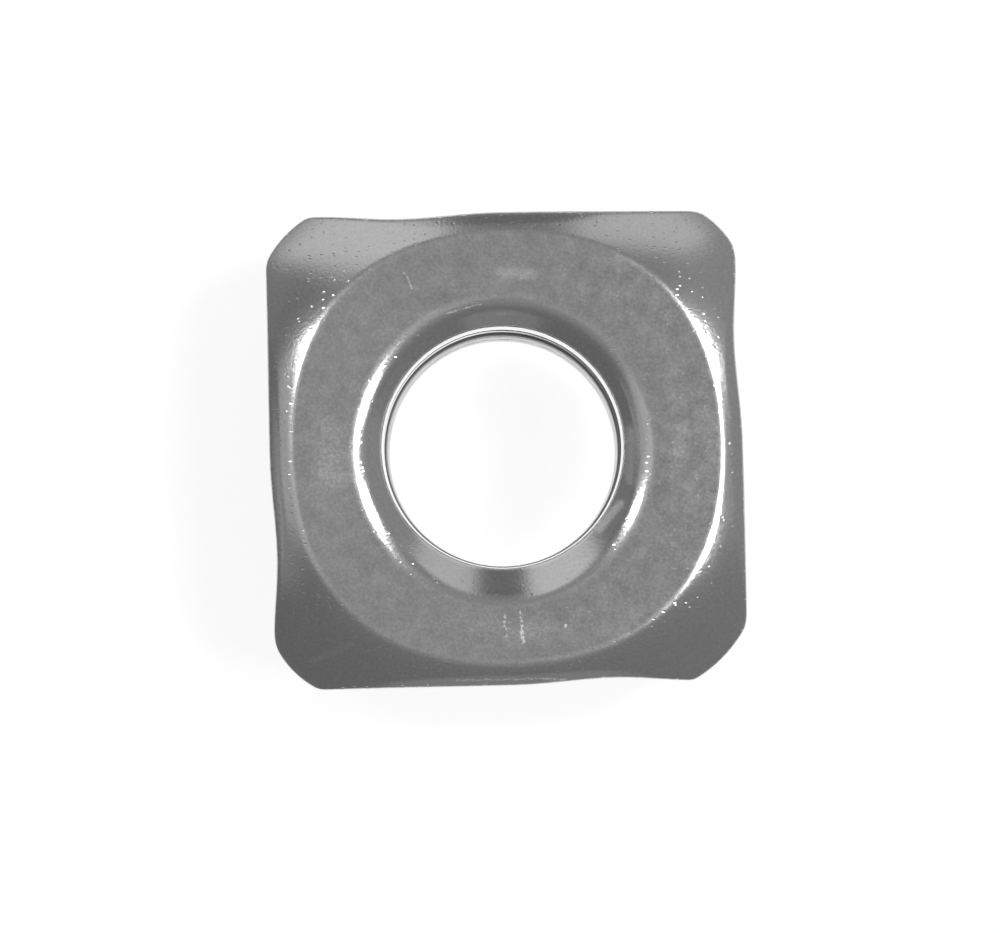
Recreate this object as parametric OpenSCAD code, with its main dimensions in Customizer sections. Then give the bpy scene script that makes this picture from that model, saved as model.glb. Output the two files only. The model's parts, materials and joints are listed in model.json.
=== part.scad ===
// Square nut of plated steel, cold formed in one piece from a round blank.
// Its hole runs along Z, the bearing face lies on z = 0 and the crowned face looks up.
// The body is the four-sided outline, extruded, kept inside a turned section.

/* [Body] */
// Width across opposite flats
across_flats = 15.875; // [12:0.025:24]
// Height from the bearing face to the level top
height = 8.33; // [5:0.01:14]

/* [Flats] */
// Depth of the shallow hollow that forming leaves in each flat
hollow_depth = 0.16; // [0:0.01:0.4]
// Distance from the middle of a flat to the deepest point of its hollow
hollow_offset = 3.5; // [2:0.05:4.2]

/* [Corners] */
// Length by which the formed corner falls short of a sharp one
corner_clip = 0.88; // [0.4:0.02:1.2]
// The same length at the one corner that filled least
short_corner_clip = 1.12; // [0.4:0.02:1.3]
// Radius of the bowed face across a corner
corner_radius = 3.4; // [3.2:0.1:6]
// Radius of the blend between a flat and a corner
corner_blend = 0.4; // [0.1:0.05:0.8]

/* [Crown] */
// Distance from the middle of a flat in to the edge of the level top
crown_inset = 0.74; // [0.4:0.02:2]
// Radius of the soft rim round the level top
rim_radius = 1; // [0.2:0.05:2]
// Slope of the domed chamfer at the rim, in degrees
rim_slope = 18; // [10:1:26]
// Slope of the domed chamfer at the corners, in degrees
corner_slope = 38; // [30:1:50]

/* [Hole] */
// Minor diameter of the thread
thread_minor_d = 8; // [6:0.02:9.4]
// Width of the countersink at each face, along the face
countersink_width = 0.97; // [0.4:0.01:1.4]
// Slope of the countersink below the face, in degrees
countersink_slope = 30; // [20:1:45]
// Radius of the rounding where the countersink meets the face
countersink_rounding = 1.1; // [0.2:0.05:1.5]

/* [Hidden] */
$fn = 96;

plated_steel = [0.66, 0.66, 0.66];
sides = 4;
turn = 360 / sides;
short_corner = 3;
flat_steps = 24;
blend_steps = 5;
corner_steps = 6;
dome_steps = 8;
rim_steps = 4;
mouth_steps = 5;
section_margin = 1;

half_flats = across_flats / 2;
sharp_corner = half_flats * sqrt(2);
blend_line = half_flats - corner_blend;
widest = sharp_corner - min(corner_clip, short_corner_clip);

bore_r = thread_minor_d / 2;
mouth_r = bore_r + countersink_width;
mouth_depth = countersink_width * tan(countersink_slope);
mouth_centre_r = mouth_r + countersink_rounding * tan(countersink_slope / 2);

crown_r = half_flats - crown_inset;
rim_centre_r = crown_r - rim_radius * tan(rim_slope / 2);
dome_start_r = rim_centre_r + rim_radius * sin(rim_slope);
dome_radius = (widest - dome_start_r) / (sin(corner_slope) - sin(rim_slope));
dome_drop = rim_radius * (1 - cos(rim_slope));
dome_centre_r = dome_start_r - dome_radius * sin(rim_slope);
dome_centre_z = height - dome_drop - dome_radius * cos(rim_slope);
outer_r = widest + section_margin;
outer_z = dome_centre_z + dome_radius * cos(corner_slope) - section_margin * tan(corner_slope);

// Points on an arc about a centre, from one angle to another
function arc(centre, radius, from, to, steps) =
    [for (i = [0 : steps]) let (a = from + (to - from) * i / steps) centre + radius * [cos(a), sin(a)]];

// Distance from the axis to corner k, which counts anticlockwise from the one at 45 degrees
function corner_reach(k) = sharp_corner - (k % sides == short_corner ? short_corner_clip : corner_clip);

// Centre of the bowed face of corner k, the same distance along both axes
function corner_centre(k) = (corner_reach(k) - corner_radius) / sqrt(2);

// Half length of a flat on the side of corner k, up to the blend
function flat_end(k) =
    corner_centre(k) + sqrt(pow(corner_radius - corner_blend, 2) - pow(blend_line - corner_centre(k), 2));

// Depth of the hollow at place u along a flat: nothing at the middle and at the end of the flat
function hollow(u, end) =
    u <= 0 ? 0 :
    let (phase = u < hollow_offset ? u / hollow_offset : (end - u) / (end - hollow_offset))
    hollow_depth * (1 - cos(180 * phase)) / 2;

// A flat that faces +X, from its lower blend to its upper one, without the two ends
function flat_points(k) =
    let (start = -flat_end(k + sides - 1), end = flat_end(k))
    [for (i = [1 : flat_steps - 1]) let (u = start + (end - start) * i / flat_steps)
        [half_flats - hollow(u, end), u]];

// The corner after a flat that faces +X: blend, bowed face, blend
function corner_points(k) =
    let (end = flat_end(k), centre = corner_centre(k), edge = atan2(end - centre, blend_line - centre))
    let (bow = arc([centre, centre], corner_radius, edge, turn - edge, corner_steps))
    concat(
        arc([blend_line, end], corner_blend, 0, edge, blend_steps),
        [for (i = [1 : corner_steps - 1]) bow[i]],
        arc([end, blend_line], corner_blend, turn - edge, turn, blend_steps)
    );

function turned(p, a) = [p.x * cos(a) - p.y * sin(a), p.x * sin(a) + p.y * cos(a)];

// A flat and the corner after it, on side k
function side_points(k) = [for (p = concat(flat_points(k), corner_points(k))) turned(p, k * turn)];

// The four flats and corners seen from above
module outline()
    polygon([for (k = [0 : sides - 1]) each side_points(k)]);

// Half of the turned section: hole, two countersinks, level top, soft rim and domed chamfer
module section() {
    rounded = countersink_rounding;
    lower_mouth = arc([mouth_centre_r, rounded], rounded, 270 - countersink_slope, 270, mouth_steps);
    upper_mouth = arc([mouth_centre_r, height - rounded], rounded, 90, 90 + countersink_slope, mouth_steps);
    dome = arc([dome_centre_r, dome_centre_z], dome_radius, 90 - corner_slope, 90 - rim_slope, dome_steps);
    rim = arc([rim_centre_r, height - rim_radius], rim_radius, 90 - rim_slope, 90, rim_steps);
    polygon(concat(
        [[bore_r, mouth_depth]],
        lower_mouth,
        [[outer_r, 0], [outer_r, outer_z]],
        dome,
        [for (i = [1 : rim_steps]) rim[i]],
        upper_mouth,
        [[bore_r, height - mouth_depth]]
    ));
}

module nut()
    color(plated_steel)
    intersection() {
        linear_extrude(height = height) outline();
        rotate_extrude() section();
    }

nut();
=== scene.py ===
import json

import bpy
import numpy as np
from mathutils import Matrix, Vector

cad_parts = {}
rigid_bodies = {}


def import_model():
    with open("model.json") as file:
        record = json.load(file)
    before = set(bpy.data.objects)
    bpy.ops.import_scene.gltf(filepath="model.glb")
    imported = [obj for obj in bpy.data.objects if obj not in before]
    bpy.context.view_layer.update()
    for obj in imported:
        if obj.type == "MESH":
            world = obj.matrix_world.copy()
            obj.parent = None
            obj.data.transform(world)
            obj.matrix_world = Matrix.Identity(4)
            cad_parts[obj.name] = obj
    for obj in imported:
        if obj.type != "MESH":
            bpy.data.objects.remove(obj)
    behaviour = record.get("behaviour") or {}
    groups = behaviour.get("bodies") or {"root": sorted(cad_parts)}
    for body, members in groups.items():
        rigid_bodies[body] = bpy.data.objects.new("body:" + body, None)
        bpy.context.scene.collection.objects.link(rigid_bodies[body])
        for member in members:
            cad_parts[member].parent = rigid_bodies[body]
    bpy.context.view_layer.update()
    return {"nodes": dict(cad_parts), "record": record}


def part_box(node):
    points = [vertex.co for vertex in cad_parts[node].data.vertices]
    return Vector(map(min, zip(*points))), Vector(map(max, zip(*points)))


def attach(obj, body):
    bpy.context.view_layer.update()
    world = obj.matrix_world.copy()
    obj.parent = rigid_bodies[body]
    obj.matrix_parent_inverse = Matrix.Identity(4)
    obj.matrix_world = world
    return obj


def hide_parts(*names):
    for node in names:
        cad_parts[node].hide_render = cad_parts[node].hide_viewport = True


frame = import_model()
mm = 0.001
print("frame loaded:", ", ".join(sorted(frame["nodes"])))


# a shader socket that takes part in Python expressions
class Wire:
    def __init__(self, tree, socket=None):
        self.tree = tree
        self.socket = socket

    # any node: its settings first, then the values or links of its sockets
    def node(self, kind, settings=None, sockets=None, out=0):
        made = self.tree.nodes.new(kind)
        for name, value in (settings or {}).items():
            setattr(made, name, value)
        for name, value in (sockets or {}).items():
            if isinstance(value, Wire):
                self.tree.links.new(value.socket, made.inputs[name])
            else:
                made.inputs[name].default_value = value
        if isinstance(out, tuple):
            return [Wire(self.tree, made.outputs[name]) for name in out]
        return Wire(self.tree, made.outputs[out]) if made.outputs else None

    def maths(self, operation, *values):
        return self.node("ShaderNodeMath", {"operation": operation}, dict(enumerate(values)))

    def __add__(self, other):
        return self.maths("ADD", self, other)

    def __sub__(self, other):
        return self.maths("SUBTRACT", self, other)

    def __rsub__(self, other):
        return self.maths("SUBTRACT", other, self)

    def __mul__(self, other):
        return self.maths("MULTIPLY", self, other)

    def __truediv__(self, other):
        return self.maths("DIVIDE", self, other)

    def __rtruediv__(self, other):
        return self.maths("DIVIDE", other, self)

    def __pow__(self, other):
        return self.maths("POWER", self, other)

    __radd__ = __add__
    __rmul__ = __mul__

    def least(self, other):
        return self.maths("MINIMUM", self, other)

    def most(self, other):
        return self.maths("MAXIMUM", self, other)

    # 0 below low, 1 above high, and a soft step between them; high may be the lower one
    def rise(self, low, high):
        span = {"Value": self, "From Min": low, "From Max": high}
        return self.node("ShaderNodeMapRange", {"interpolation_type": "SMOOTHSTEP"}, span)

    def noise(self, scale, detail=2.0, roughness=0.5):
        spread = {"Vector": self, "Scale": scale, "Detail": detail, "Roughness": roughness}
        return self.node("ShaderNodeTexNoise", {"noise_dimensions": "3D"}, spread)

    def split(self):
        return self.node("ShaderNodeSeparateXYZ", sockets={0: self}, out=("X", "Y", "Z"))

    def vector(self, operation, *values):
        if operation == "SCALE":
            sockets = {0: self, "Scale": values[0]}
            return self.node("ShaderNodeVectorMath", {"operation": operation}, sockets)
        out = "Value" if operation in ("DOT_PRODUCT", "LENGTH", "DISTANCE") else "Vector"
        sockets = dict(enumerate((self, *values)))
        return self.node("ShaderNodeVectorMath", {"operation": operation}, sockets, out)

    # 1 along a level line and 0 beyond its width
    def streak(self, begin, end, width):
        begin, along = Vector((*begin, 0)), Vector((*end, 0)) - Vector((*begin, 0))
        flat = self.vector("SUBTRACT", begin)
        share = flat.vector("DOT_PRODUCT", along / along.length_squared).least(1.0).most(0.0)
        nearest = flat.node("ShaderNodeCombineXYZ", sockets={0: share * along.x, 1: share * along.y})
        return flat.vector("DISTANCE", nearest).rise(width, 0)


# the nut's own sizes, in millimetres and degrees
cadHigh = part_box("nut")[1]
threadMount = next(m for m in frame["record"]["mounts"] if m["name"] == "thread")
nutForm = {
    "halfFlats": cadHigh.x / mm,
    "height": cadHigh.z / mm,
    "hollowDepth": 0.16,  # shallow hollow that forming leaves in each flat
    "hollowOffset": 3.5,  # from the middle of a flat to its deepest point
    "flatLean": (-0.07, 0.08, 0.0, 0.0),  # how far each flat leans in at one end, right one first
    "flatDish": 0.04,  # how far the middle of a flat lies behind its ends
    "cornerReach": (10.37, 10.34, 10.34, 10.1),  # from the axis, right-back corner first
    "cornerSkew": (0.0034, -0.0034, 0.004, 0),  # and its change per degree, anticlockwise
    "cornerBow": (0.0037, 0.003, 0.0037, 0.0019),  # and its fall off per degree squared
    "cornerSoftness": ((0.2, 0.2), (0.12, 0.16), (0.2, 0.1), (0.1, 0.2)),
    "crownRadius": 7.16,  # edge of the level top at the middle of a flat
    "crownSquare": 0.33,  # how much further it reaches towards the corners
    "rimRadius": 1.0,
    "rimSlope": 18,
    "cornerSlope": 38,
    "cornerRadius": 10.35,  # where the dome has the corner slope
    "edgeRoll": 1.4,  # radius to which the dome turns down before the upper edge
    "edgeTilt": 38.5,  # slope that it reaches there
    "edgeRadius": 0.05,
    "footRoll": 0.15,  # rounding of the lower edge
    "boreRadius": threadMount["dims"]["r_mm"],
    "mouthWidth": 0.97,  # countersink, along the face
    "mouthSlope": 30,
    "mouthShift": (-0.15, -0.13),  # how far the upper countersink was sunk off the middle
    "mouthOval": 0.17,  # how much nearer its edge lies along X
    "holeShift": (-0.16, 0.0),  # and the hole under it
    "upperMouthRounding": 1.5,
    "lowerMouthRounding": 1.1,
    "lipWidth": 0.03,  # steep worn band between the countersink and the hole
    "lipShift": (0.01, 0.02),  # wider on one side
    "lipSlope": 76,
    "lipSoftness": 0.08,
}
threadForm = {
    "pitch": 1.5875,
    "depth": 0.7625,
    "flank": 30,  # from the plane across the axis
    "rootFlat": 0.198,
    "crestSoftness": 0.14,
    "rootSoftness": 0.1,
    "startAngle": 222.6,  # where the groove leaves the foot of the countersink
    "fadeFrom": 1.4,  # depths below the face over which the groove comes in
    "fadeTo": 1.9,
}
gridForm = {
    "flatColumns": 72,
    "cornerColumns": 32,
    "cornerSpan": 9,  # degrees either side of a corner with close columns
    "fineRow": 0.031,  # row spacing in the upper part of the thread
    "fineDepth": 2.1,
    "coarseRow": 0.085,
}


def smoothMin(a, b, width):
    blend = np.maximum(width - np.abs(a - b), 0) / width
    return np.minimum(a, b) - blend**2 * width / 4


def smoothMax(a, b, width):
    return -smoothMin(-a, -b, width)


# angles of the grid's columns, anticlockwise, evenly along each flat and closer at the corners
def columnAngles():
    g = gridForm
    flatEnd = 45 - g["cornerSpan"]
    reach = np.tan(np.radians(flatEnd))
    along = np.linspace(-reach, reach, g["flatColumns"], endpoint=False)
    flat = np.degrees(np.arctan(along))
    corner = np.linspace(flatEnd, 90 - flatEnd, g["cornerColumns"], endpoint=False)
    quarter = np.concatenate([flat, corner])
    return np.concatenate([quarter + 90 * k for k in range(4)])


# distance from the axis to flat k along each column
def flatReach(angles, k):
    f = nutForm
    off = (angles - 90 * k + 180) % 360 - 180
    near = np.radians(np.clip(off, -60, 60))
    u = f["halfFlats"] * np.tan(near)
    end = f["halfFlats"] * 0.8
    first = u / f["hollowOffset"]
    last = (end - u) / (end - f["hollowOffset"])
    phase = np.clip(np.where(u < f["hollowOffset"], first, last), 0, 1)
    hollow = f["hollowDepth"] * (1 - np.cos(np.pi * phase)) / 2
    lean = f["flatLean"][k] * np.clip(u / end, -1, 1) / 2 - abs(f["flatLean"][k]) / 2
    dish = f["flatDish"] * (1 - np.clip((np.abs(u) - 3) / (end - 3), 0, 1) ** 2)
    reach = (f["halfFlats"] - hollow + lean - dish) / np.cos(near)
    return np.where(np.abs(off) > 58, 99.0, reach)


def outlineReach(angles):
    f = nutForm
    flats = [flatReach(angles, k) for k in range(4)]
    reach = np.full_like(angles, 99.0)
    for k in range(4):
        off = (angles - 45 - 90 * k + 180) % 360 - 180
        near = np.clip(off, -10, 10)
        corner = f["cornerReach"][k] + f["cornerSkew"][k] * near - f["cornerBow"][k] * near**2
        before, after = f["cornerSoftness"][k]
        cut = smoothMin(flats[k], corner, before)
        cut = smoothMin(flats[(k + 1) % 4], cut, after)
        reach = np.where(np.abs(off) <= 45, cut, reach)
    return reach


# change of radius at each angle where a circle lies a little off the middle
def offCentre(angles, shift):
    return shift[0] * np.cos(np.radians(angles)) + shift[1] * np.sin(np.radians(angles))


# radius of the countersink at a depth below its face, with a steep lip at its foot
def mouthWall(depth, lip):
    f = nutForm
    slope = np.tan(np.radians(f["mouthSlope"]))
    steep = np.tan(np.radians(f["lipSlope"]))
    foot = f["mouthWidth"] * slope
    cone = f["boreRadius"] + (foot - depth) / slope
    band = f["boreRadius"] + lip + (foot - lip * slope - depth) / steep
    return smoothMax(cone, band, f["lipSoftness"])


# radius of the threaded wall at each angle for one height
def threadWall(angles, z):
    f, t = nutForm, threadForm
    slope = np.tan(np.radians(t["flank"]))
    halfGroove = t["rootFlat"] / 2 + t["depth"] * slope
    foot = f["mouthWidth"] * np.tan(np.radians(f["mouthSlope"]))
    centre = f["height"] - foot - halfGroove + t["pitch"] * (angles - t["startAngle"]) / 360
    off = np.abs((z - centre + t["pitch"] / 2) % t["pitch"] - t["pitch"] / 2)
    groove = smoothMax((halfGroove - off) / slope, 0.0, t["crestSoftness"])
    groove = smoothMin(groove, t["depth"], t["rootSoftness"])
    depth = f["height"] - z
    fade = np.clip((depth - t["fadeFrom"]) / (t["fadeTo"] - t["fadeFrom"]), 0, 1)
    wall = f["boreRadius"] + groove * fade
    lip = f["lipWidth"] + offCentre(angles, f["lipShift"])
    mouth = np.maximum(mouthWall(depth, lip), mouthWall(z, 0))
    return smoothMax(wall, mouth, 0.05)


# rows of the section as (radius, height) over all columns, from the upper mouth outwards and round
def sectionRows(angles):
    f, g = nutForm, gridForm
    height = f["height"]
    one = np.ones_like(angles)
    reach = outlineReach(angles)
    rows = []
    mouthTan = np.tan(np.radians(f["mouthSlope"]) / 2)
    mouthEdge = f["boreRadius"] + f["mouthWidth"]
    mouthOff = offCentre(angles, f["mouthShift"]) - f["mouthOval"] * np.cos(np.radians(angles)) ** 2
    holeOff = offCentre(angles, f["holeShift"])

    upper = f["upperMouthRounding"]
    upperCentre = mouthEdge + upper * mouthTan
    for tilt in np.radians(np.linspace(f["mouthSlope"], 0, 13)[:-1]):
        drop = upper * (1 - np.cos(tilt))
        rows.append((one * (upperCentre - upper * np.sin(tilt)) + mouthOff, one * (height - drop)))

    square = f["crownSquare"] * (1 - np.cos(np.radians(4 * angles))) / 2
    rimSlope = np.radians(f["rimSlope"])
    rimCentre = f["crownRadius"] + square - f["rimRadius"] * np.tan(rimSlope / 2)
    for share in (0, 0.02, 0.2, 0.4, 0.6, 0.8, 0.98):
        inner = upperCentre + mouthOff
        rows.append((inner + (rimCentre - inner) * share, one * height))
    for tilt in np.linspace(0, rimSlope, 7)[:-1]:
        drop = f["rimRadius"] * (1 - np.cos(tilt))
        rows.append((rimCentre + f["rimRadius"] * np.sin(tilt), one * (height - drop)))

    domeStart = rimCentre + f["rimRadius"] * np.sin(rimSlope)
    plainStart = f["crownRadius"] - f["rimRadius"] * (np.tan(rimSlope / 2) - np.sin(rimSlope))
    steep = np.sin(np.radians(f["cornerSlope"])) - np.sin(rimSlope)
    domeRadius = (f["cornerRadius"] - plainStart) / steep
    rimDrop = f["rimRadius"] * (1 - np.cos(rimSlope))

    def domeTilt(r):
        return np.arcsin(np.sin(rimSlope) + (r - domeStart) / domeRadius)

    def domeHeight(r):
        return height - rimDrop - domeRadius * (np.cos(rimSlope) - np.cos(domeTilt(r)))

    edgeTilt = np.radians(f["edgeTilt"])
    edge = f["edgeRadius"]
    rollEnd = reach - edge * (1 - np.sin(edgeTilt))
    roll = np.minimum(f["edgeRoll"], (rollEnd - domeStart - 0.03) / (np.sin(edgeTilt) - np.sin(rimSlope)))
    rollStart = rollEnd
    for _ in range(8):
        rollStart = rollEnd - roll * (np.sin(edgeTilt) - np.sin(domeTilt(rollStart)))
    startTilt = domeTilt(rollStart)
    for share in np.linspace(0, 1, 19)[:-1]:
        r = domeStart + (rollStart - domeStart) * share
        rows.append((r, domeHeight(r)))
    rollHeight = domeHeight(rollStart) - roll * np.cos(startTilt)
    for share in np.linspace(0, 1, 8)[:-1]:
        tilt = startTilt + (edgeTilt - startTilt) * share
        rows.append((rollEnd - roll * (np.sin(edgeTilt) - np.sin(tilt)), rollHeight + roll * np.cos(tilt)))
    edgeHeight = rollHeight + roll * np.cos(edgeTilt) - edge * np.cos(edgeTilt)
    for tilt in np.linspace(edgeTilt, np.pi / 2, 5):
        rows.append((reach - edge * (1 - np.sin(tilt)), edgeHeight + edge * np.cos(tilt)))

    foot = f["footRoll"]
    for share in (0.03, 0.2, 0.4, 0.6, 0.8, 0.97):
        rows.append((reach, edgeHeight + (foot - edgeHeight) * share))
    for tilt in np.radians(np.linspace(0, 90, 6)):
        rows.append((reach - foot * (1 - np.cos(tilt)), one * foot * (1 - np.sin(tilt))))

    lower = f["lowerMouthRounding"]
    lowerCentre = mouthEdge + lower * mouthTan
    for share in (0.03, 0.35, 0.65, 0.97, 1):
        rows.append((reach - foot + (lowerCentre - reach + foot) * share, 0 * one))
    for tilt in np.radians(np.linspace(0, f["mouthSlope"], 6)[1:]):
        rows.append((one * (lowerCentre - lower * np.sin(tilt)), one * lower * (1 - np.cos(tilt))))

    lowEnd = lower * (1 - np.cos(np.radians(f["mouthSlope"])))
    highEnd = height - upper * (1 - np.cos(np.radians(f["mouthSlope"])))
    footDepth = f["mouthWidth"] * np.tan(np.radians(f["mouthSlope"]))
    fineFrom = height - g["fineDepth"]
    coarse = np.arange(lowEnd + g["coarseRow"], fineFrom, g["coarseRow"])
    fine = np.arange(fineFrom, highEnd - g["fineRow"] / 2, g["fineRow"])
    for z in np.concatenate([coarse, fine]):
        depth = height - z
        shallow = np.clip((footDepth - depth) / (footDepth - height + highEnd), 0, 1)
        off = mouthOff * shallow + holeOff * (1 - shallow) * z / height
        rows.append((threadWall(angles, z) + off, one * z))
    return rows


def buildNut():
    angles = columnAngles()
    rows = sectionRows(angles)
    turn = np.radians(angles)
    r = np.array([row[0] for row in rows])
    z = np.array([row[1] for row in rows])
    points = np.stack([r * np.cos(turn), r * np.sin(turn), z], axis=-1).reshape(-1, 3) * mm
    rowCount, columnCount = r.shape
    i, j = np.meshgrid(np.arange(rowCount), np.arange(columnCount), indexing="ij")
    down = (i + 1) % rowCount
    side = (j + 1) % columnCount
    here, below = i * columnCount, down * columnCount
    faces = np.stack([here + j, below + j, below + side, here + side], axis=-1).reshape(-1, 4)
    mesh = bpy.data.meshes.new("nut_body")
    mesh.from_pydata(points.tolist(), [], faces.tolist())
    mesh.validate()
    mesh.shade_smooth()
    body = bpy.data.objects.new("nut_body", mesh)
    bpy.context.scene.collection.objects.link(body)
    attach(body, "root")
    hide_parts("nut")
    print("nut body:", len(points), "points,", 2 * len(faces), "triangles")
    return body


# plating, with lengths in millimetres
steelLook = {
    "base": 0.64,
    "wallBase": 0.44,  # duller where the tool drew along the sides
    "lipBase": 0.97,  # painted reflection of the bright floor where the countersink turns into the hole, and low in the hole
    "threadBase": 0.2,  # painted shade in the first turns of the thread
    "threadSoil": 0.7,  # how far the metal gives way to a matte surface in that painted shade
    "crownRough": 0.19,
    "domeRough": 0.15,
    "wallRough": 0.4,
    "threadRough": 0.6,
    "cloud": 0.27,  # how far patches and grain change the level top
    "grain": 0.4,
    "domeGrain": 0.25,
    "wallCloud": 0.4,
    "drawn": 0.3,  # upright streaks on the sides
    "relief": 0.0012,
    "pitDepth": 3.2,  # of the reliefs above
    "pitsPerMm": 4.6,
    "pitRadius": 0.21,  # share of the room that each pit has
    "pitShare": 0.4,
    "markGrey": 0.2,
    "markRough": 0.4,
}

# light scratches, nicks and smudges, and painted highlights, glints and reflections, each from one place
# to another over the top
marksAndGlints = {
    "scratch": {"ends": ((-3.3, 5.88), (-3.01, 5.36)), "width": 0.06, "depth": 0.45, "broken": 0.4},
    "smudge": {"ends": ((-0.04, 5.82), (0.85, 5.72)), "width": 0.45, "depth": 0.17, "broken": 0.05},
    "firstNick": {"ends": ((-0.24, -5.6), (-0.2, -6.3)), "width": 0.09, "depth": 0.4, "broken": 1},
    "secondNick": {"ends": ((0.29, -5.49), (0.4, -6.43)), "width": 0.09, "depth": 0.7, "broken": 0.8},
    "dot": {"ends": ((1.79, -5.93), (1.81, -5.93)), "width": 0.07, "depth": 0.9, "broken": 0},
    # painted highlight of a burr on the countersink's rounding
    "mouthLine": {"ends": ((-1.9, 4.51), (-0.73, 4.78)), "width": 0.04, "depth": 0.7, "broken": 0.6},
    # painted highlight of a ridge along the front edge
    "edgeLine": {"ends": ((-1.87, -7.68), (1.81, -7.7)), "width": 0.05, "depth": 0.9, "broken": 0.4},
    "cornerStreak": {"ends": ((-6.64, -6.93), (-5.35, -6.39)), "width": 0.2, "depth": 0.2, "broken": 0},
    # painted highlight at the back of the countersink
    "backPatch": {"ends": ((-0.2, 4.46), (0.3, 4.46)), "width": 0.09, "depth": 0.5, "broken": 0.3},
    # a burr on the countersink, with its glint painted lighter
    "frontBurr": {"ends": ((2.98, -2.75), (3.72, -1.95)), "width": 0.28, "depth": 0.8, "broken": 0.2},
    # painted reflection: a lighter band in the right side of the countersink
    "rightWear": {"ends": ((4.05, -1.2), (4.15, 0.4)), "width": 0.36, "depth": 0.5, "broken": 0.1},
    "leftScuff": {"ends": ((-5.9, 0.5), (-5.8, -1.0)), "width": 1.1, "depth": 0.2, "broken": 0.35},
    "frontScuff": {"ends": ((-1.0, -6.05), (1.0, -6.1)), "width": 0.7, "depth": 0.12, "broken": 0.35},
    "rightScuff": {"ends": ((5.8, 0.5), (5.8, -0.3)), "width": 0.9, "depth": 0.09, "broken": 0.35},
    "leftBurr": {"ends": ((-4.02, -0.2), (-3.98, -0.75)), "width": 0.11, "depth": 0.6, "broken": 0.8},
}


def platedSteel():
    look = steelLook
    steel = bpy.data.materials.new("plated_steel")
    steel.use_nodes = True
    tree = steel.node_tree
    tree.nodes.clear()
    start = Wire(tree)
    raw = start.node("ShaderNodeTexCoord", out="Object")
    place = raw.vector("SCALE", 1 / mm)
    x, y, z = place.split()
    radius = (x * x + y * y) ** 0.5
    facing = start.node("ShaderNodeNewGeometry", out="Normal").split()[2]
    top = nutForm["height"]

    # where each finish is, and where shade and floor reflections are painted
    crown = z.rise(top - 0.03, top - 0.008)
    wall = facing.rise(0.6, 0.3) * radius.rise(5, 6)
    lip = z.rise(top - 0.48, top - 0.56) * radius.rise(4.4, 4.3)
    thread = z.rise(top - 2.2, top - 2.6) * radius.rise(4.95, 4.8)
    deep = z.rise(top - 4.7, top - 5.2)
    # painted shade: darker, less metallic grey in the first turns of the thread
    threadShade = thread * (1 - deep)
    # painted reflection of the bright floor: lighter grey on the lip and low in the hole
    floorReflection = (lip * (1 - thread)).most(thread * deep)

    # patches and fine grain
    cloud = place.noise(1.7, 2.0, 0.6) - 0.5
    grain = place.noise(11.0, 1.0, 0.6) - 0.5

    # scratches and painted glints keep their places but wander a little
    drift = start.node("ShaderNodeCombineXYZ", sockets={0: x + cloud * 0.2, 1: y + cloud * 0.2})
    scarsAndGlints = 0
    gaps = grain.rise(0.1, -0.08)
    for mark in marksAndGlints.values():
        whole = drift.streak(*mark["ends"], mark["width"]) * mark["depth"]
        scarsAndGlints = whole * (1 - gaps * mark["broken"]) + scarsAndGlints
    scarsAndGlints = scarsAndGlints * z.rise(top - 1.6, top - 1.4)

    # small pits, which catch the light beside the highlights
    pitSockets = {"Vector": place.vector("MULTIPLY", (0.55, 1.1, 1.1)), "Scale": look["pitsPerMm"]}
    flatCells = {"voronoi_dimensions": "2D"}
    pitAway, pitPick = start.node("ShaderNodeTexVoronoi", flatCells, pitSockets, ("Distance", "Color"))
    chosen = pitPick.split()[0].rise(1 - look["pitShare"], 1.02 - look["pitShare"])
    pits = pitAway.rise(look["pitRadius"], 0) * chosen * radius.rise(4.4, 4.8) * (1 - wall)

    # upright streaks on the sides
    upright = start.node("ShaderNodeCombineXYZ", sockets={0: x * 4, 1: y * 4, 2: z * 0.35})
    drawn = upright.noise(1.0, 2.0, 0.65) - 0.5

    # grey and roughness of all finishes together, with the painted shade, reflections and glints
    tone = cloud * look["cloud"] + grain * look["grain"]
    tone = 1 + tone * crown + grain * look["domeGrain"] * (1 - crown)
    tone = tone + cloud * wall * look["wallCloud"]
    grey = look["base"] + floorReflection * (look["lipBase"] - look["base"])
    grey = grey + wall * (look["wallBase"] - look["base"] + drawn * look["drawn"])
    grey = tone * (grey + threadShade * (look["threadBase"] - look["base"]))
    # marks lighter grey: real scratches and nicks, with painted highlights, glints and a reflection
    grey = (grey + scarsAndGlints * look["markGrey"]).least(0.98)
    colour = start.node("ShaderNodeCombineColor", sockets={"Red": grey, "Green": grey, "Blue": grey})
    rough = look["domeRough"] + crown * (look["crownRough"] - look["domeRough"] + cloud * 0.12)
    rough = rough + wall * (look["wallRough"] - look["domeRough"] + drawn * look["drawn"])
    rough = rough + thread * (look["threadRough"] - look["domeRough"]) + grain * 0.05
    rough = rough + scarsAndGlints * look["markRough"]

    relief = grain * (1.6 - crown - wall) + drawn * wall * 6 - pits * look["pitDepth"]
    bumpSockets = {"Distance": look["relief"] * mm, "Height": relief}
    normal = start.node("ShaderNodeBump", sockets=bumpSockets, out="Normal")
    metal = 1 - threadShade * look["threadSoil"]
    sockets = {"Base Color": colour, "Metallic": metal, "Roughness": rough, "Normal": normal}
    surface = start.node("ShaderNodeBsdfPrincipled", sockets=sockets)
    start.node("ShaderNodeOutputMaterial", sockets={"Surface": surface})
    print("plating:", len(tree.nodes), "nodes")
    return steel


# pale table with a low backdrop round it
tableLook = {
    "ring": 96,  # points round it
    "radius": 2.0,  # metres
    "bendStart": 1.7,
    "bendHeight": 0.23,
    "below": 0.00001,  # under the nut, so that the two faces don't fight
    "glow": 0.82,  # white that the camera and the metal see
    "shade": 0.36,  # part that takes the shadow
}


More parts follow.
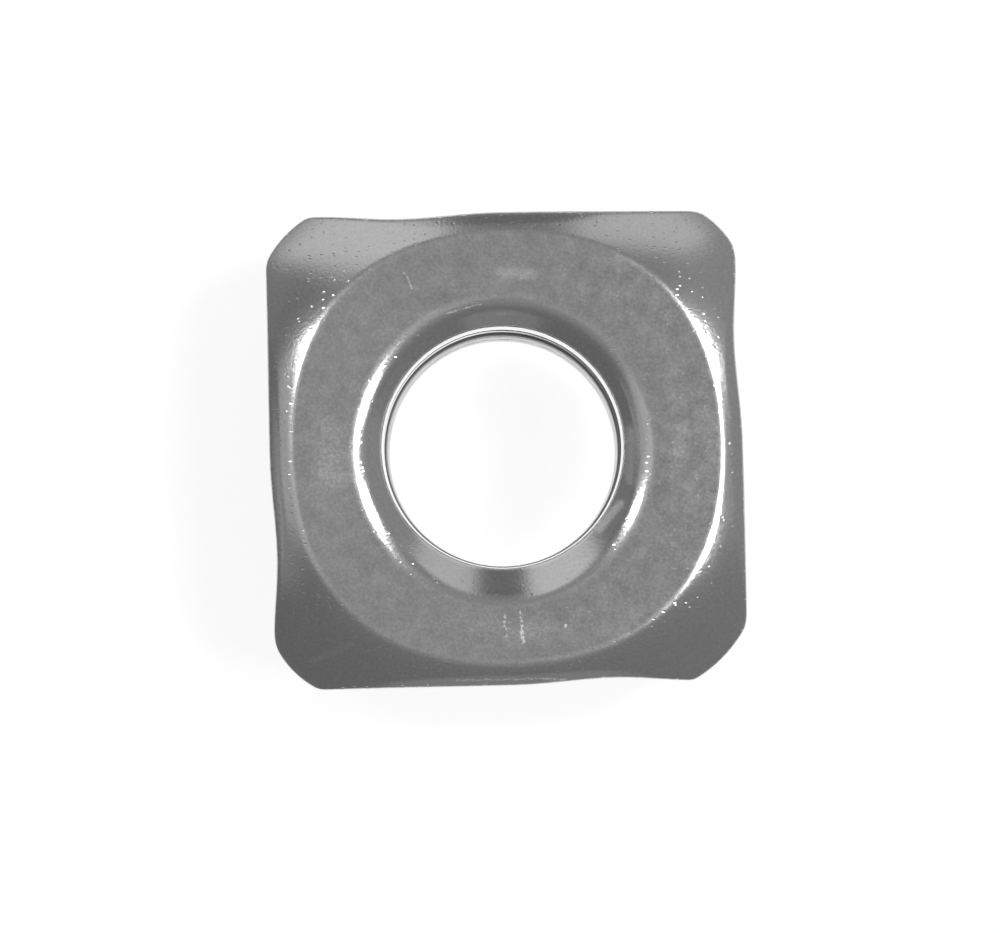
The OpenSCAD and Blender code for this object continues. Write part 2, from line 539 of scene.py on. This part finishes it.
def buildTable():
    t = tableLook
    ring = t["ring"]
    profile = [(0.02 * t["radius"], 0), (0.2 * t["radius"], 0), (t["bendStart"], 0)]
    bend = t["radius"] - t["bendStart"]
    for a in np.radians(np.linspace(10, 90, 9)):
        profile.append((t["bendStart"] + bend * np.sin(a), t["bendHeight"] * (1 - np.cos(a))))
    points = [(0, 0, -t["below"])]
    for r, z in profile:
        for a in np.linspace(0, 2 * np.pi, ring, endpoint=False):
            points.append((r * np.cos(a), r * np.sin(a), z - t["below"]))
    faces = [(0, 1 + j, 1 + (j + 1) % ring) for j in range(ring)]
    for i in range(len(profile) - 1):
        for j in range(ring):
            k = (j + 1) % ring
            inner, outer = 1 + i * ring, 1 + (i + 1) * ring
            faces.append((inner + j, outer + j, outer + k, inner + k))
    mesh = bpy.data.meshes.new("table")
    mesh.from_pydata(points, [], faces)
    mesh.shade_smooth()
    table = bpy.data.objects.new("table", mesh)
    bpy.context.scene.collection.objects.link(table)

    white = bpy.data.materials.new("table_white")
    white.use_nodes = True
    white.node_tree.nodes.clear()
    start = Wire(white.node_tree)
    seen = ("Is Camera Ray", "Is Glossy Ray", "Is Transmission Ray")
    camera, glossy, through = start.node("ShaderNodeLightPath", out=seen)
    glow = start.node("ShaderNodeEmission", sockets={"Strength": t["glow"]})
    shade = start.node("ShaderNodeBsdfDiffuse", sockets={"Color": (t["shade"], t["shade"], t["shade"], 1)})
    shown = start.node("ShaderNodeAddShader", sockets={0: glow, 1: shade})
    plain = start.node("ShaderNodeBsdfDiffuse", sockets={"Color": (0.8, 0.8, 0.8, 1)})
    pick = camera.most(glossy).most(through)
    mixed = start.node("ShaderNodeMixShader", sockets={0: pick, 1: plain, 2: shown})
    start.node("ShaderNodeOutputMaterial", sockets={"Surface": mixed})
    mesh.materials.append(white)
    print("table ready")


# soft boxes, by direction anticlockwise from +X, angle from straight up, and radiance
lampLook = {
    "distance": 1.0,
    "boxes": {
        "rightUpper": {"azimuth": (15, 30), "zenith": (22, 42), "light": 10},
        "rightMiddle": {"azimuth": (-11, 3), "zenith": (19, 30), "light": 6},
        "rightLower": {"azimuth": (-25, -11), "zenith": (21, 38), "light": 10},
        "left": {"azimuth": (149, 157), "zenith": (24, 40), "light": 10},
    },
}


def aimed(azimuth, zenith):
    a, n = np.radians(azimuth), np.radians(zenith)
    return Vector((np.sin(n) * np.cos(a), np.sin(n) * np.sin(a), np.cos(n)))


# turn a lamp or camera so that its back points one way and its upper edge as near another as can be
def stand(thing, upper, back, place):
    across = upper.cross(back).normalized()
    upright = back.cross(across)
    turned = Matrix((across, upright, back)).transposed().to_4x4()
    thing.matrix_world = Matrix.Translation(place) @ turned


def buildLamps():
    far = lampLook["distance"]
    for name, box in lampLook["boxes"].items():
        azimuth, zenith = np.mean(box["azimuth"]), np.mean(box["zenith"])
        direction = aimed(azimuth, zenith)
        wide = 2 * far * np.tan(np.radians(box["azimuth"][1] - azimuth)) * np.sin(np.radians(zenith))
        high = 2 * far * np.tan(np.radians(box["zenith"][1] - zenith))
        lamp = bpy.data.lights.new(name, "AREA")
        lamp.shape = "RECTANGLE"
        lamp.size = wide
        lamp.size_y = high
        lamp.energy = box["light"] * np.pi * wide * high
        holder = bpy.data.objects.new(name, lamp)
        stand(holder, Vector((0, 0, 1)), direction, direction * far)
        holder.visible_camera = False
        bpy.context.scene.collection.objects.link(holder)
    print("lamps:", ", ".join(lampLook["boxes"]))


# dim room round the table, with two pale panels at the back, a paler ceiling and soft glows
roomLook = {
    "low": 0.22,
    "lean": (0.04, 0.024),  # brighter towards +X and +Y
    "ceiling": 0.056,
    "ceilingRing": 0.032,  # a little brighter round the middle of the ceiling
    "ceilingLeft": 0.095,
    "panels": {  # each edge: shares of right and back, and where it starts and ends
        "right": {
            "light": 0.36,
            "edges": ((-0.45, 1, 0.5, 0.8), (-0.97, 1, -0.1, 0.25), (1, -0.213, -0.03, 0.12)),
        },
        "left": {
            "light": 0.48,
            "edges": ((0.754, 1, 0.15, 0.5), (0, 1, 0.55, 0.75), (1, 0.123, 0.03, -0.06)),
        },
    },
    "glows": {
        "left": {"azimuth": 170, "zenith": 30, "reach": 20, "light": 0.224},
        "lowRight": {"azimuth": 15, "zenith": 65, "reach": 35, "light": 0.065},
        "backGap": {"azimuth": 88, "zenith": 60, "reach": 16, "light": -0.064},
        "frontRight": {"azimuth": -48, "zenith": 16, "reach": 11, "light": 0.12},
        "lowerLeft": {"azimuth": 190, "zenith": 52, "reach": 15, "light": 0.088},
        "farLeft": {"azimuth": 184, "zenith": 62, "reach": 13, "light": 0.08},
        "front": {"azimuth": 270, "zenith": 66, "reach": 20, "light": 0.08},
        "cornerLeft": {"azimuth": 150, "zenith": 68, "reach": 14, "light": 0.04},
    },
}


def buildRoom():
    look = roomLook
    world = bpy.data.worlds.new("room")
    world.use_nodes = True
    world.node_tree.nodes.clear()
    bpy.context.scene.world = world
    start = Wire(world.node_tree)
    way = start.node("ShaderNodeTexCoord", out="Generated")
    x, y, z = way.split()
    up = z.most(0.03)
    right = x / up  # where the direction meets a level ceiling one unit above
    back = y / up

    light = look["low"] + look["lean"][0] * x + look["lean"][1] * y
    light = light + z.rise(0.7, 0.9) * look["ceiling"]
    light = light + z.rise(0.78, 0.9) * z.rise(0.99, 0.96) * look["ceilingRing"]
    light = light + z.rise(0.9, 0.97) * x.rise(0.12, -0.12) * look["ceilingLeft"]
    for panel in look["panels"].values():
        shown = z.rise(0.12, 0.4)
        for rightShare, backShare, begin, end in panel["edges"]:
            shown = shown * (right * rightShare + back * backShare).rise(begin, end)
        light = light + shown * panel["light"]
    for glow in look["glows"].values():
        near = way.vector("DOT_PRODUCT", aimed(glow["azimuth"], glow["zenith"]))
        edge = np.cos(np.radians(glow["reach"]))
        light = light + near.rise(edge, (1 + edge) / 2) * glow["light"]
    camera = start.node("ShaderNodeLightPath", out="Is Camera Ray")
    seen = light + camera * (1 - light)  # white behind the table
    backdrop = start.node("ShaderNodeBackground", sockets={"Color": (1, 1, 1, 1), "Strength": seen})
    start.node("ShaderNodeOutputWorld", sockets={"Surface": backdrop})
    print("room ready")


# photograph's view: nearly straight down, with the nut turned a little anticlockwise
viewForm = {
    "imageWidth": 1000,
    "imageHeight": 933,
    "axisPixel": (507.2, 447.3),  # where the hole's axis meets the level top
    "pixelsPerMm": 30.2,  # at the level top
    "above": 97,  # millimetres over the level top
    "aside": (-1.9, -3.0),
    "turn": 1.415,
    "sensor": 36,
}


def buildCamera():
    v = viewForm
    top = nutForm["height"]
    turn = np.radians(v["turn"])
    right = Vector((np.cos(turn), -np.sin(turn), 0))
    up = Vector((np.sin(turn), np.cos(turn), 0))
    offX = (v["imageWidth"] / 2 - v["axisPixel"][0]) / v["pixelsPerMm"]
    offY = (v["axisPixel"][1] - v["imageHeight"] / 2) / v["pixelsPerMm"]
    target = right * offX + up * offY + Vector((0, 0, top))
    eye = right * v["aside"][0] + up * v["aside"][1] + Vector((0, 0, top + v["above"]))
    back = (eye - target).normalized()
    lens = bpy.data.cameras.new("photo_view")
    lens.sensor_width = v["sensor"]
    lens.lens = v["pixelsPerMm"] * v["above"] / v["imageWidth"] * v["sensor"]
    lens.clip_start = 0.001
    lens.clip_end = 10
    camera = bpy.data.objects.new("photo_view", lens)
    stand(camera, up, back, eye * mm)
    bpy.context.scene.collection.objects.link(camera)
    bpy.context.scene.camera = camera
    print("camera ready")


nutBody = buildNut()
nutBody.data.materials.append(platedSteel())
buildTable()
buildLamps()
buildRoom()
buildCamera()
bpy.context.scene.view_settings.view_transform = "Standard"

bpy.context.view_layer.update()
